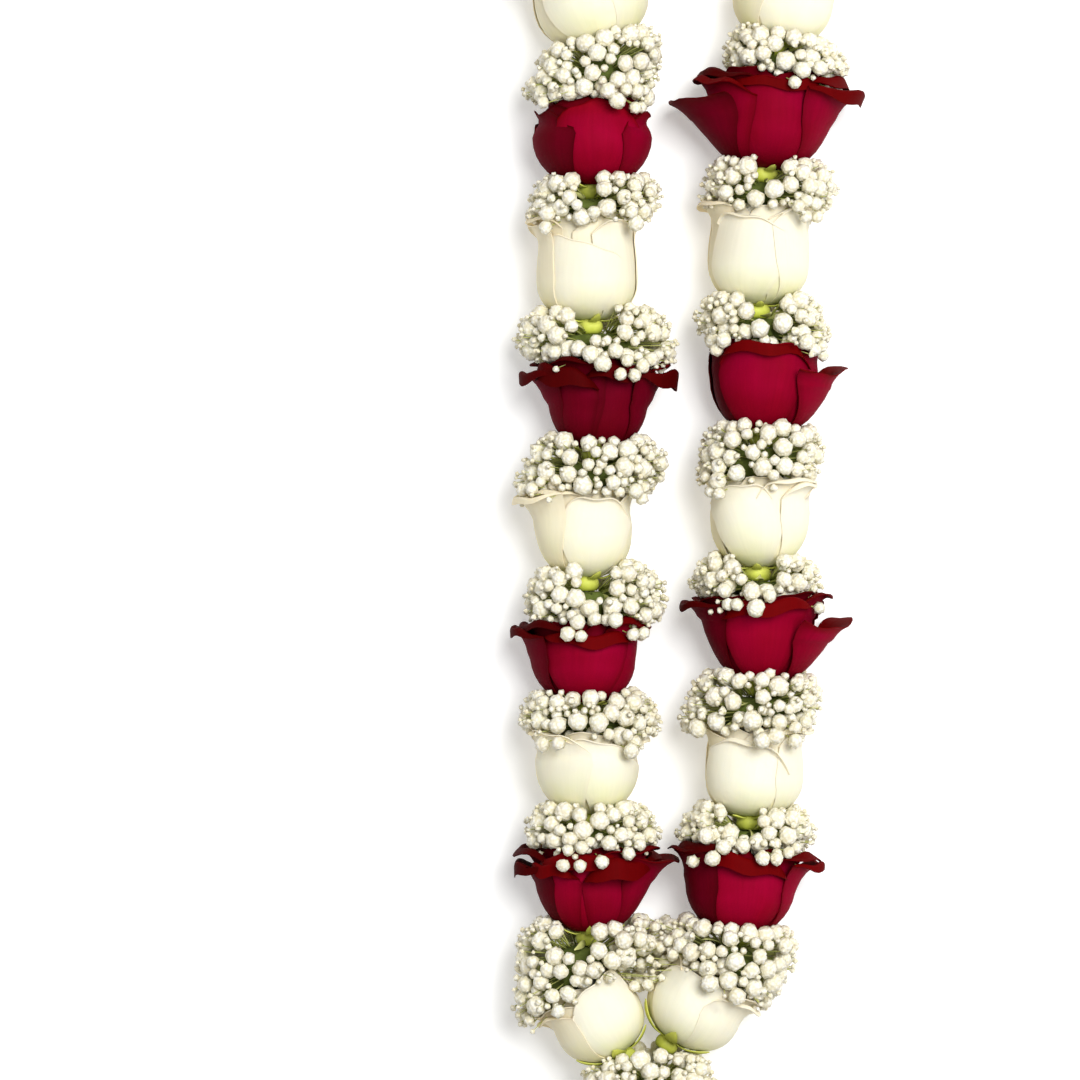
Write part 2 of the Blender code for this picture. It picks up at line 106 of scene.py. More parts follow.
# What the photo shows of each rose, in millimetres and degrees.
# Of the whole rose: "cup" is the bowl's height over the radius and how far the wall opens, "lips"
# how far it flares to the front, left and right, "slim" how much slimmer than the bloom it is,
# "sepals" how far round the bowl they reach, "second" how far the second petal's rim rises, "sides"
# how far the other rims rise, and "spiral" has each petal over the next.
# Of the front petal: "turn" is its place to the right of the front, "rise" how far its rim rises,
# "tilt" how far more to its right, "drop" how far it falls at its corners, "curl" and "curl_radius"
# how its lip rolls, "flap" how far that hangs down, "twist" how far it leans round, "fold" how deep
# its fold's place and depth, "fold_at" where, from -1 to 1, and "tone_and_shade" how dark it and the
# guards are, which is partly painted shade.
# "guards" are petals outside the cup: the place to the right of the front, the half width, how far
# the rim sits under the cup's, how far it flares, how far its lip curls, its flap, how far the rim
# rises to the right, and how steeply the upper half leans out.
STYLES = {
    "left_01": dict(turn=14, tilt=2, curl=60, twist=12, sepals=54, slim=-2,
        guards=((-66, 40, 4, 2.5, 100, 0.5, 2, 0),)),
    "left_02": dict(turn=-20, tilt=1, curl=150, flap=6.5, rise=-3, cup=(0.95, 0.8), lips=(5.5, 7, 6.5),
        guards=((30, 38, 5, 5.5, 150, 6.5, 3, 0), (-40, 30, 6, 5, 140, 5, -3, 0),
        (78, 42, 4, 5, 60, 2, 2, 0.42), (-78, 36, 6, 7, 150, 5, 0, 0.12))),
    "left_03": dict(turn=30, tilt=-3, curl=70, twist=-22, rise=-4, cup=(0.95, -0.8), slim=-2.2,
        guards=((-38, 42, 1, 3, 60, 0, -2, 0),)),
    "left_04": dict(turn=0, slim=1, tilt=0, curl=165, curl_radius=2, flap=5, rise=-7, drop=2,
        cup=(0.8, 0.8), lips=(5, 6, 1.5), guards=((-80, 36, 3, 5, 130, 3, -2, 0.12),)),
    "left_05": dict(turn=20, tilt=-3, curl=110, rise=-6, twist=12, slim=0.6, cup=(0.85, -0.6),
        guards=((-66, 42, 2, 5, 120, 2.5, 0, 0.25),)),
    "left_06": dict(turn=30, tilt=2, curl=130, flap=6, rise=-3, fold=2.4, fold_at=-0.5, spiral=True,
        tone_and_shade=0.75, slim=2, cup=(0.85, 1.6), lips=(5.5, 7, 7), guards=((-36, 36, 4, 5.5, 150, 7, -4, 0),
        (76, 38, 3, 7, 150, 7, 0, 0.15), (-78, 34, 6, 7, 130, 4, 2, 0.18))),
    "left_07": dict(turn=-12, tilt=-6, curl=70, curl_radius=1.3, rise=-13, drop=3, twist=10, second=-6,
        cup=(0.72, -1.2), guards=((-78, 34, 4, 3, 80, 0, 3, 0),)),
    "left_08": dict(turn=12, tilt=-2, curl=50, curl_radius=1.5, flap=0, rise=-5, drop=11, fold=1.6,
        fold_at=-0.1, cup=(0.82, -3), lips=(2, 1.5, 1.5), slim=-1, sides=-7,
        guards=((-62, 44, 8, 1.5, 40, 0, -4, 0), (72, 40, 8, 1.5, 40, 0, 4, 0))),
    "left_09": dict(turn=-6, tilt=2, curl=90, slim=-3, guards=((60, 40, 2, 2, 60, 0, 0, 0),)),
    "right_01": dict(turn=-20, tilt=4, curl=80, twist=-14, rise=-4, sepals=54, slim=-2.9,
        guards=((50, 44, 3, 3, 90, 1, 4, 0),)),
    "right_02": dict(turn=8, tilt=-1, curl=160, curl_radius=1.8, flap=5.5, rise=-5, cup=(0.85, 0.4),
        lips=(5, 5, 7), guards=((-66, 38, 2, 5, 80, 1, 0, 0.12), (82, 34, 4, 8, 110, 2, 1, 0.12))),
    "right_03": dict(turn=-12, tilt=-5, curl=120, flap=2.5, rise=-7, twist=10, cup=(0.7, -1),
        guards=((66, 38, 1, 3, 90, 0, 3, 0),)),
    "right_04": dict(turn=-4, tilt=4, curl=165, curl_radius=2, flap=5.5, rise=-2.5, drop=5,
        cup=(1.15, 1.4), lips=(4.5, 6, 5), guards=((74, 44, 12, 2, 30, 0, 5, 0.6),
        (-76, 38, 2, 5, 100, 2, 0, 0.2))),
    "right_05": dict(turn=-26, tilt=1, curl=100, twist=-26, rise=-4, slim=0.6, cup=(0.9, -0.6),
        guards=((66, 40, 1, 3.5, 120, 1.5, 2, 0),)),
    "right_06": dict(turn=-4, tilt=0, curl=150, flap=5, fold=2.2, fold_at=0.1, rise=-1, drop=10,
        cup=(1, 0.2), lips=(4, 3, 4), sides=-4, guards=((74, 46, 13, 2, 30, 0, 4, 0.45),)),
    "right_07": dict(turn=-14, tilt=-3, curl=100, flap=1.5, rise=-7, twist=18, second=-4, cup=(0.72, -1),
        guards=((58, 42, 0, 3.5, 100, 1, 3, 0),)),
    "right_08": dict(turn=6, tilt=1, curl=150, flap=5, rise=-3, cup=(0.8, 0.6), lips=(5, 6, 6), slim=-1,
        fold=1.6, fold_at=-0.35, guards=((76, 46, 5, 4, 130, 5, 3, 0.42),
        (-76, 46, 14, 3, 30, 0, 0, 0.85), (-50, 36, 5, 4, 90, 3, -2, 0.1))),
    "right_09": dict(turn=10, tilt=0, curl=90, guards=((-60, 40, 2, 2, 60, 0, 0, 0),)),
}

# A collar's half height from the thread, which is its half width too where none is given, and the
# widest radius of its outline.
COLLAR_RADIUS = 30.5
COLLAR_BELLY = 31

# The two lowest collars have more florets, some in the room between the two: its middle and half
# sizes, as x, y and height, by the photo's own places.
LOWEST_COLLARS = ("left_01", "right_01")
FILL = (-19.5, -232, 22)
FILL_SPREAD = (10, 15, 18)
FILL_COUNT = 18
LOWEST_SHARE = 1.5
COMMON_SKIN_LENGTH = 35


class Collar(NamedTuple):
    """A collar, in millimetres: its half widths to the left and right of the thread, where it leaves
    the hip above in sight, as a place to the left and a half width, and where its florets hang over
    the rose below, as shares of the half turn from the left over the front."""
    left: float = COLLAR_RADIUS
    right: float = COLLAR_RADIUS
    window: tuple = None
    drops: tuple = ()


COLLARS = {
    "left_01": Collar(34, 35, (5, 7)),
    "left_02": Collar(28, 33, drops=(0.4, 0.6, 0.72)),
    "left_03": Collar(31, 34, drops=(0.3, 0.75)),
    "left_04": Collar(28, 36, (-4, 7.5), (0.2, 0.45, 0.65, 0.8)),
    "left_05": Collar(33, 34, drops=(0.2, 0.8)),
    "left_06": Collar(35, 37, (-3, 8), (0.3, 0.55, 0.7)),
    "left_07": Collar(28.5, 32.5, (2, 4.5), (0.25, 0.8)),
    "left_08": Collar(33, 28, drops=(0.3, 0.65, 0.8)),
    "neck": Collar(window=(0, 5)),
    "right_01": Collar(34, 30),
    "right_02": Collar(32, 30, (4.5, 8), (0.2, 0.35, 0.65, 0.8)),
    "right_03": Collar(35, 28, drops=(0.6, 0.72)),
    "right_04": Collar(31, 28.5, (0, 7), (0.35, 0.45, 0.8)),
    "right_05": Collar(29.5, 28, drops=(0.2, 0.85)),
    "right_06": Collar(28.5, 31, (-3.5, 7.5), (0.2, 0.75, 0.82)),
    "right_07": Collar(27.5, 34.5, (-2, 6), (0.7, 0.85)),
    "right_08": Collar(22, 36, drops=(0.7, 0.85)),
}
HANGING_ON_RED = 8
HANGING_ON_WHITE = 5
HANGING_HALF_WIDTH = 32

# How far above the surface the undersides begin to be pressed, and how near to it they come.
PRESS_DEPTH = 6 * MM
FLOOR_GAP = 0.4 * MM


class Chance(random.Random):
    """Seeded chance. Called with two numbers, it draws one between them."""

    def __call__(self, low, high):
        return self.uniform(low, high)


def flower_frame(x, y, lean):
    """A frame on the thread: local Z along it, local Y towards +Z, its lean from +Y in degrees."""
    angle = radians(lean)
    axis = Vector((sin(angle), cos(angle), 0))
    up = Vector((0, 0, 1))
    made = Matrix((up.cross(axis), up, axis)).transposed().to_4x4()
    made.translation = (x, y, THREAD_HEIGHT)
    return made


def placed(points, matrix):
    """The points moved by a matrix."""
    matrix = np.array(matrix)
    return points @ matrix[:3, :3].T + matrix[:3, 3]


def pressed(points):
    """The points, with those near the surface eased up so that none is in it."""
    room = PRESS_DEPTH - FLOOR_GAP
    points = points.copy()
    z = points[..., 2]
    low = FLOOR_GAP + room * np.exp((np.minimum(z, PRESS_DEPTH) - PRESS_DEPTH) / room)
    points[..., 2] = np.where(z < PRESS_DEPTH, low, z)
    return points


class Bloom(NamedTuple):
    """Where one rose sits on the thread, its size and its flares, in metres and degrees, and its cup:
    the bowl's height over the radius, how far the wall opens, how much slimmer than the bloom it is,
    how far its petals' edges lift, and the phases of its swell."""
    x: float
    y: float
    lean: float
    radius: float
    length: float
    front: float
    left: float
    right: float
    bowl: float = 0
    taper: float = 0
    slim: float = 0
    shingle: float = 0
    phases: tuple = ()

    def frame(self):
        start = -(self.length - RIM_DROP + HIDDEN_BASE) / 2
        return flower_frame(self.x, self.y, self.lean) @ Matrix.Translation((0, 0, start))

    def face(self):
        return self.frame() @ Matrix.Translation((0, 0, self.length))


def on_table(x, y):
    """A place of the photo's, in millimetres, as metres from the middle of the part."""
    return (x - MIDDLE[0]) * MM, (y - MIDDLE[1]) * MM


def bloom_of(x, y, lean, *lengths):
    return Bloom(*on_table(x, y), lean, *(length * MM for length in lengths))


def linked(name, data):
    """A new object of the scene."""
    made = bpy.data.objects.new(name, data)
    bpy.context.scene.collection.objects.link(made)
    return made


class Shape:
    """Closed skins in one mesh, pressed flat near the surface. Each point has a tone, with painted shade
    on the petals, its share of the height, its place across from -1 to 1, and whether it is inside a
    petal. Faces come in arrays."""

    LABELS = ("tone_and_shade", "height", "across", "inside")

    def __init__(self):
        self.points = []
        self.values = {label: [] for label in self.LABELS}
        self.faces = []
        self.finishes = []
        self.count = 0

    def add(self, points, faces, finish, tone_and_shade, height, across=0, inside=0):
        self.points.append(pressed(points))
        for label, value in zip(self.LABELS, (tone_and_shade, height, across, inside)):
            self.values[label].append(np.broadcast_to(value, len(points)))
        for some in faces:
            self.faces += (some + self.count).tolist()
            self.finishes += [finish] * len(some)
        self.count += len(points)

    def piece(self, name, materials, crease=55):
        mesh = bpy.data.meshes.new(name)
        mesh.from_pydata(np.concatenate(self.points).tolist(), [], self.faces)
        for material in materials:
            mesh.materials.append(material)
        mesh.polygons.foreach_set("material_index", self.finishes)
        for label in self.LABELS:
            layer = mesh.attributes.new(label, "FLOAT", "POINT")
            layer.data.foreach_set("value", np.concatenate(self.values[label]).astype(np.float32))
        mesh.shade_smooth()
        mesh.set_sharp_from_angle(angle=radians(crease))
        return linked(name, mesh)


def add_leaf(shape, outer, thickness, matrix, finish, tone_and_shade, height, across=0):
    """Adds a closed shell from a grid of its outer side, rows up and columns round."""
    rows, columns = outer.shape[:2]
    normal = np.cross(np.gradient(outer, axis=1), np.gradient(outer, axis=0))
    normal /= np.maximum(np.linalg.norm(normal, axis=-1, keepdims=True), 1e-12)
    inner = outer - normal * np.broadcast_to(thickness, (rows, columns))[..., None]
    points = np.concatenate([outer.reshape(-1, 3), inner.reshape(-1, 3)])
    n = rows * columns
    loop = np.concatenate([
        np.arange(columns), np.arange(1, rows) * columns + columns - 1,
        (rows - 1) * columns + np.arange(columns - 2, -1, -1), np.arange(rows - 2, 0, -1) * columns])
    after = np.roll(loop, -1)
    edge = np.stack([loop, loop + n, after + n, after], axis=1)
    i, j = np.meshgrid(np.arange(rows - 1), np.arange(columns - 1), indexing="ij")
    a = (i * columns + j).ravel()
    quads = np.stack([a, a + 1, a + columns + 1, a + columns], axis=1)
    faces = (quads, (quads + n)[:, ::-1], edge)
    height, across = (np.tile(np.broadcast_to(values, (rows, columns)).ravel(), 2)
                      for values in (height, across))
    shape.add(placed(points, matrix), faces, finish, tone_and_shade, height, across, np.repeat((0, 1), n))


def flare_at(bloom, azimuth):
    """How far a lip flares at an azimuth: as the bloom says to the front, left and right, and less
    underneath, where the rose lies on it."""
    side = np.cos(azimuth)
    sideways = np.where(side > 0, bloom.left, bloom.right)
    flare = bloom.front + (sideways - bloom.front) * side * side
    return flare * (1 + 0.45 * np.minimum(0, np.sin(azimuth)))


class Petal(NamedTuple):
    """One petal: its middle round the flower and half width, in radians, how far it is inside the
    bloom, how far its rim rises, rises to the right and drops at its corners, how far it flares, None
    for the bloom's own, its lip's curl and the curl's radius, how far it closes over the heart and
    leans round, its fold's place and depth, the layers of its left and right edges, 1 over and -1
    under, how far its rim sits under the cup's and its lip hangs down, how wavy it is and how
    steeply its upper half leans out."""
    azimuth: float
    half: float
    inset: float = 0
    rise: float = 0
    tilt: float = 0
    drop: float = 9 * MM
    flare: float = None
    curl: float = 0
    curl_radius: float = 1.2 * MM
    close: float = 0
    twist: float = 0
    fold_at: float = 0
    fold: float = 0
    left_layer: float = 1
    right_layer: float = -1
    sink: float = 0
    flap: float = 0
    rows: int = 23
    columns: int = 17
    wave: float = 1
    open: float = 0


# How much slimmer than its solid a cup is, and its petals' sizes and the rows of their grids.
SLACK = 2 * MM
NECK_SHARE = 0.16
SHORTEST_WALL = 0.5 * MM
PETAL_THICKNESS = 0.75 * MM
RIM_THICKNESS = 0.5 * MM
WIDEST_TURN = radians(176)
BOWL_ROW_SHARE = 0.3
CURL_ROW_SHARE = 0.25
FLAP_ROWS = 3


def petal(shape, bloom, spec, rng, tone_and_shade):
    """Adds one petal to a rose, as a thin closed shell: bowl, wall, curled lip and the lip's flap."""
    u = np.linspace(-1, 1, spec.columns)[None, :]
    bowl_rows = round(spec.rows * BOWL_ROW_SHARE)
    curl_rows = round(spec.rows * CURL_ROW_SHARE)
    flap_rows = FLAP_ROWS if spec.flap else 0
    wall_rows = spec.rows - bowl_rows - curl_rows - flap_rows
    radius = bloom.radius - bloom.slim - spec.inset
    neck = NECK_SHARE * bloom.radius
    bowl_height = bloom.bowl * bloom.radius * (radius / bloom.radius) ** 0.5
    share = np.concatenate([np.linspace(0, 0.4, bowl_rows, endpoint=False),
                            np.linspace(0.4, 1, wall_rows), np.ones(curl_rows + flap_rows)])[:, None]
    azimuth = spec.azimuth + spec.half * u * np.minimum(1, 0.62 + 0.9 * share) + spec.twist * (share - 0.7)
    wall_azimuth = azimuth[bowl_rows:bowl_rows + wall_rows]

    flare = np.full_like(wall_azimuth, spec.flare) if spec.flare else flare_at(bloom, wall_azimuth)
    roll = np.radians(36 + 2 * np.minimum(flare, 16 * MM) / MM)
    belt = HIP_LENGTH + bowl_height
    top = bloom.length - RIM_DROP - spec.sink
    room = np.maximum(top - belt - SHORTEST_WALL, 2 * MM)
    roll = np.maximum(roll, 2 * np.arctan(flare / room))
    bend = flare / (1 - np.cos(roll))
    lip_start = np.maximum(top - bend * np.sin(np.minimum(roll, pi / 2)), belt + SHORTEST_WALL)
    body = lip_start - belt
    phases = [rng(0, tau) for _ in range(6)]
    wave = spec.wave * MM * (0.5 * np.sin(2.3 * u + phases[0]) + 0.35 * np.sin(5.1 * u + phases[1]))
    rim = (body + bend * roll)[-1:] + spec.rise + spec.tilt * u + wave - spec.drop * np.abs(u) ** 3
    rim = np.maximum(rim, 2 * MM)

    slope = np.radians(12 + 78 * np.arange(bowl_rows) / bowl_rows)[:, None] + 0 * u
    bowl_r = neck + (radius - neck) * np.sin(slope)
    bowl_z = HIP_LENGTH + bowl_height * (1 - np.cos(slope))
    s = rim * np.linspace(0, 1, wall_rows)[:, None]
    theta = np.maximum(s - body, 0) / bend
    t = np.minimum(s / body, 1)
    wall_r = radius + bloom.taper * t + 0.4 * MM * np.sin(pi * t) + bend * (1 - np.cos(theta))
    wall_z = belt + np.minimum(s, body) + bend * np.sin(theta)
    before = theta[-1:]
    most = np.maximum(np.minimum(spec.curl * (1 - 0.3 * u * u), WIDEST_TURN - before), 0.05)
    curl_radius = spec.curl_radius * (1 - 0.75 * np.abs(u) ** 3)
    turn = most * (np.arange(1, curl_rows + 1) / curl_rows)[:, None]
    curl_r = wall_r[-1:] + curl_radius * (np.cos(before) - np.cos(before + turn))
    curl_z = wall_z[-1:] + curl_radius * (np.sin(before + turn) - np.sin(before))
    hang = (spec.flap + 0.4 * wave) * (1 - np.abs(0.85 * u - 0.15 * sin(phases[5])) ** 2)
    hang = np.maximum(hang, 0.15 * MM) * (np.arange(1, flap_rows + 1) / max(1, flap_rows))[:, None]
    flap_r = curl_r[-1:] + hang * np.sin(before + most)
    flap_z = curl_z[-1:] + hang * np.cos(before + most)
    r = np.concatenate([bowl_r, wall_r, curl_r, flap_r])
    z = np.concatenate([bowl_z, wall_z, curl_z, flap_z])
    heading = np.concatenate([0 * slope, theta, before + turn, before + most + 0 * hang])

    up = np.clip((share - 0.25) / 0.75, 0, 1)
    layer = (spec.left_layer * (1 - u) + spec.right_layer * (1 + u)) / 2
    offset = bloom.shingle * layer * np.clip(share * 3, 0, 1) * (1 - 0.3 * share)
    offset = offset + 0.35 * bloom.shingle * np.abs(u) ** 6 * up * (layer > 0)
    ripple = 0.25 * np.sin(3.1 * u + phases[2]) + 0.12 * np.sin(6.7 * u + 3 * share + phases[3])
    offset = offset + MM * ripple * up
    offset = offset - spec.fold * np.exp(-((u - spec.fold_at) / 0.1) ** 2) * up * (1.3 - share)
    swell = 0.45 * MM * np.sin(2 * azimuth + bloom.phases[0]) + 0.35 * MM * np.sin(
        3 * azimuth + 60 * z + bloom.phases[1])
    offset = offset + swell * np.clip(share * 2, 0, 1)
    r = r + offset * np.cos(heading) - spec.close * up ** 1.6
    z = z - offset * np.sin(heading) + 0.6 * spec.wave * MM * np.sin(7.5 * u + phases[4]) * up ** 6

    past_middle = z - 0.5 * (bloom.length - spec.sink)
    leaning = spec.open * (past_middle + np.sqrt(past_middle ** 2 + (4 * MM) ** 2)) / 2
    leaning = leaning * (1 - 0.8 * u * u)
    r = r + leaning
    z = z - 0.2 * leaning
    local = np.stack([r * np.cos(azimuth), r * np.sin(azimuth), z], axis=-1)
    thickness = PETAL_THICKNESS + (RIM_THICKNESS - PETAL_THICKNESS) * up ** 2
    past = np.arange(spec.rows)[:, None] - (bowl_rows + wall_rows - 1)
    height = 0.86 * share + 0.14 * np.maximum(past, 0) / (curl_rows + flap_rows)
    add_leaf(shape, local, thickness * (1 - 0.35 * np.abs(u) ** 4), bloom.frame(), MAIN, tone_and_shade, height, u)


def add_turned(shape, rings, finish, tone_and_shade, heights):
    """Adds a closed skin through rings of points: quads between rings, and a fan at each end."""
    rings = np.asarray(rings, float)
    count, sides = rings.shape[:2]
    j = np.arange(sides)
    after = (j + 1) % sides
    last, middle = (count - 1) * sides, count * sides
    faces = [np.stack([a + j, a + after, a + sides + after, a + sides + j], axis=1)
             for a in range(0, last, sides)]
    faces.append(np.stack([after, j, middle + 0 * j], axis=1))
    faces.append(np.stack([last + j, last + after, middle + 1 + 0 * j], axis=1))
    points = np.concatenate([rings.reshape(-1, 3), rings[0].mean(0)[None], rings[-1].mean(0)[None]])
    values = np.concatenate([np.repeat(heights, sides), heights[:1], heights[-1:]])
    shape.add(points, faces, finish, tone_and_shade, values)


# The hip's outline: its width as a share of its size, and the height in millimetres.
HIP_PROFILE = ((0.55, -0.2), (0.8, 0), (0.97, 1.2), (1.05, 2.8), (1, 4.4), (0.86, 5.6), (0.8, 6.6))
HIP_SHARE = 0.25
HIP_SIDES = 20
SEPALS = 5
LONG_SEPALS = 40
LONG_SEPAL_TURN = radians(15)


def hip(shape, bloom, rng, sepals):
    """The green hip under a rose, and its sepals, against the petals. The roses of the V show theirs,
    so they are longer, wider, turned to the front, and darker and yellower by their tint: they lie in
    full light, while the green of the others is painted lighter against the shade in the collars."""
    size = HIP_SHARE * bloom.radius
    matrix = bloom.frame()
    angles = np.linspace(0, tau, HIP_SIDES, endpoint=False)
    lobes = 1 + 0.05 * np.cos(5 * angles)
    rings = [placed(np.stack([
        size * share * lobes * np.cos(angles), size * share * lobes * np.sin(angles),
        np.full(HIP_SIDES, height * MM)], axis=1), matrix) for share, height in HIP_PROFILE]
    shown = sepals > LONG_SEPALS
    # The V's hips lie in full light and take the darker tint; the others keep the green painted lighter
    # against shade.
    tone_and_shade = float(shown)
    add_turned(shape, rings, GREEN, tone_and_shade, np.array([height / 7 for _, height in HIP_PROFILE]))
    widest = 4 if shown else 2.6
    turn = LONG_SEPAL_TURN if shown else rng(0, tau)
    u = np.linspace(-1, 1, 5)[None, :]
    t = np.linspace(0, 1, 8)[:, None]
    neck = NECK_SHARE * bloom.radius
    stand = (bloom.shingle + 0.5 * MM) * np.minimum(1, 0.5 + 2 * t)
    width = widest * MM * (1 - t) ** 0.7 * (0.75 + 0.9 * t) + 0.12 * MM
    for k in range(SEPALS):
        azimuth = turn + tau * k / SEPALS + rng(-0.12, 0.12)
        a = np.radians(3 + sepals * rng(0.8, 1.15) * t)
        radius = neck + (bloom.radius - bloom.slim - neck) * np.sin(a) + stand * np.sin(a) + 0.5 * MM
        height = HIP_LENGTH + bloom.bowl * bloom.radius * (1 - np.cos(a)) - stand * np.cos(a)
        angle = azimuth + u * width / radius
        height = height - 0.3 * MM * (1 - np.abs(u))
        local = np.stack([radius * np.cos(angle), radius * np.sin(angle), height], axis=-1)
        add_leaf(shape, local, 0.5 * MM, matrix, GREEN, tone_and_shade, 0.3 + 0.7 * t)


# What the roses of a colour have in common: the cup, how far the petals' edges lift and the sepals
# reach, how wavy the rims are, and how many petals stand how far outside the cup.
KINDS = {
    "red": dict(cup=(0.98, 0.3), shingle=0.85, sepals=30, wave=1.5, outside=1.4, guard_count=2),
    "white": dict(cup=(0.78, -1.2), shingle=0.6, sepals=30, wave=1, outside=1, guard_count=1),
}
OUTER_PETALS = 5
# Painted shade on the five outer petals, by place: least on the front, more on the right and below, most on
# the left, away from the light.
OUTER_PAINTED_SHADES = (0.1, 0.3, 0.6, 0.6, 0.85)

# The petals over the heart: how many, how far inside the bloom as a share of its radius, how far
# they rise and close, in millimetres, and the rows and columns of their grids.
HEART_WHORLS = ((4, 0.36, -1.8, 2.5, 12, 10), (3, 0.54, -2.6, 2.5, 11, 9), (2, 0.72, -3.4, 1.6, 10, 9))


def outer_petals(shape, bloom, rng, style, colour, turn):
    """The cup's five outer petals, the front one as the style says."""
    lap = rng.choice((True, False))
    over = [True] * OUTER_PETALS if style.get("spiral") else [True, lap, not lap, lap, False]
    calm = "sides" in style
    for k in range(OUTER_PETALS):
        ours = style if k == 0 else {}
        if k == 1 and "second" in style:
            ours = dict(rise=style["second"])
        flap = rng(1.5, 5.5) if colour == "red" and not calm else rng(-1.5, 1.5)
        petal(shape, bloom, Petal(
            radians(turn + 72 * k + rng(-4, 4)), radians(rng(47, 53)),
            rise=ours.get("rise", style.get("sides", 0) + rng(-2.5, 0)) * MM,
            tilt=ours.get("tilt", rng(-3, 3)) * MM, drop=ours.get("drop", rng(6, 9)) * MM,
            curl=radians(ours.get("curl", 40 if calm else rng(50, 140))),
            curl_radius=ours.get("curl_radius", rng(1.1, 1.9)) * MM,
            flap=max(0, ours.get("flap", flap)) * MM,
            twist=radians(ours.get("twist", rng(-12, 12))),
            fold=ours.get("fold", rng(0, 0.8)) * MM, fold_at=ours.get("fold_at", rng(-0.6, 0.6)),
            left_layer=-1 if over[k - 1] else 1, right_layer=1 if over[k] else -1, wave=style["wave"],
        ), rng, ours.get("tone_and_shade", OUTER_PAINTED_SHADES[k] + rng(-0.1, 0.15)))


def guard_petals(shape, bloom, rng, style):
    """The petals outside the cup. The more one leans out, the less its corners drop."""
    guards = style.get("guards")
    if guards is None:
        guards = [(rng(0, 360), 38, rng(1, 4), rng(3, 5), rng(60, 150), 2, 0, rng(0, 0.35))
                  for _ in range(style["guard_count"])]
    # Painted shade: by default the guards on the left, away from the light, are darker.
    for where, half, sink, flare, curl, flap, tilt, leaning in guards:
        bowl = min(bloom.bowl, (bloom.length - (15 + sink) * MM) / bloom.radius)
        petal(shape, bloom._replace(bowl=bowl), Petal(
            radians(90 + where), radians(half), inset=-style["outside"] * MM, sink=sink * MM,
            flare=flare * MM, curl=radians(curl), curl_radius=rng(1.3, 1.9) * MM,
            flap=flap * MM, tilt=tilt * MM, twist=radians(rng(-10, 10)),
            drop=(rng(5, 8) - (6 + 0.8 * sink) * min(1, leaning / 0.3)) * MM,
            left_layer=0.3, right_layer=0.3, rows=22, columns=15, wave=style["wave"], open=leaning,
        ), rng, style.get("tone_and_shade", 0.2 + 0.6 * (where < -55) + rng(-0.1, 0.1)))


def inner_petals(shape, bloom, rng, lift, turn):
    """The whorl behind the outer petals, and the three whorls that close over the heart."""
    for k in range(OUTER_PETALS):
        petal(shape, bloom, Petal(
            radians(turn + 36 + 72 * k + rng(-7, 7)), radians(46),
            inset=2.9 * MM, rise=(lift + rng(-0.3, 1.2)) * MM,
            tilt=rng(-2, 2) * MM, drop=7 * MM, flare=rng(1, 2.2) * MM,
            curl=radians(rng(30, 90)), curl_radius=0.9 * MM, rows=14, columns=11,
        ), rng, rng(0.3, 0.7))
    for count, inset, rise, close, rows, columns in HEART_WHORLS:
        offset = rng(0, 360)
        for k in range(count):
            petal(shape, bloom, Petal(
                radians(offset + 360 * k / count), radians(190 / count + 22),
                inset=inset * bloom.radius, rise=(rise + rng(-0.5, 0.5)) * MM,
                tilt=rng(-1, 1) * MM, drop=4 * MM, flare=0.9 * MM, curl=radians(30),
                curl_radius=0.7 * MM, close=close * MM, rows=rows, columns=columns,
            ), rng, rng(0.25, 0.5))


def rose(place, bloom, colour):
    """One rose: 19 petals in five whorls, the petals outside its cup, its hip and sepals."""
    name = f"{colour}_rose_{place}"
    shape = Shape()
    rng = Chance(f"{SEED} looks {name}")
    style = KINDS[colour] | STYLES.get(place, {})
    phases = (rng(0, tau), rng(0, tau))
    bowl, taper = style["cup"]
    bloom = bloom._replace(bowl=bowl, taper=taper * MM, slim=SLACK + style.get("slim", 0) * MM,
                           shingle=style["shingle"] * MM, phases=phases)
    if "lips" in style:
        front, left, right = style["lips"]
        bloom = bloom._replace(front=front * MM, left=left * MM, right=right * MM)
    turn = 90 + style.get("turn", rng(-12, 12))
    outer_petals(shape, bloom, rng, style, colour, turn)
    guard_petals(shape, bloom, rng, style)
    inner_petals(shape, bloom, rng, 0.4 * style.get("sides", 0), turn)
    hip(shape, bloom, rng, style["sepals"])
    made = shape.piece(f"{name}_bloom", (MATERIALS[colour], MATERIALS["green"]))
    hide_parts(name)
    return made


def floret_ball(rng, rings, sides, ruffle):
    """A ruffled ball one unit in radius, its stalk end at the bottom: points and triangles."""
    points = [(0, 0, 0.9)]
    phases = [rng(0, tau) for _ in range(3)]
    for i in range(rings):
        polar = radians(27 + 126 * i / (rings - 1))
        turn = pi * i / sides + rng(-0.1, 0.1)
        for j in range(sides):
            angle = tau * j / sides + turn
            lobes = (0.4 * sin(2 * angle + phases[0])
                     + 0.6 * sin(3 * angle + 2 * polar + phases[1])
                     + 0.6 * sin(5 * angle - 2 * polar + phases[2]))
            bulge = ruffle * (lobes + 0.5 * (-1) ** (i + j)) + rng(-0.03, 0.03)
            r = (1 + bulge) * (1 - 0.3 * max(0, -cos(polar)) ** 1.5)
            wide = r * sin(polar)
            points.append((wide * cos(angle), wide * sin(angle), r * cos(polar)))
    points.append((0, 0, -0.95))
    faces = []
    for j in range(sides):
        after = (j + 1) % sides
        faces.append((0, 1 + j, 1 + after))
        last = 1 + (rings - 1) * sides
        faces.append((len(points) - 1, last + after, last + j))
        for i in range(rings - 1):
            a, b = 1 + i * sides, 1 + (i + 1) * sides
            faces.append((a + j, b + j, b + after))
            faces.append((a + j, b + after, a + after))
    return np.array(points), np.array(faces)


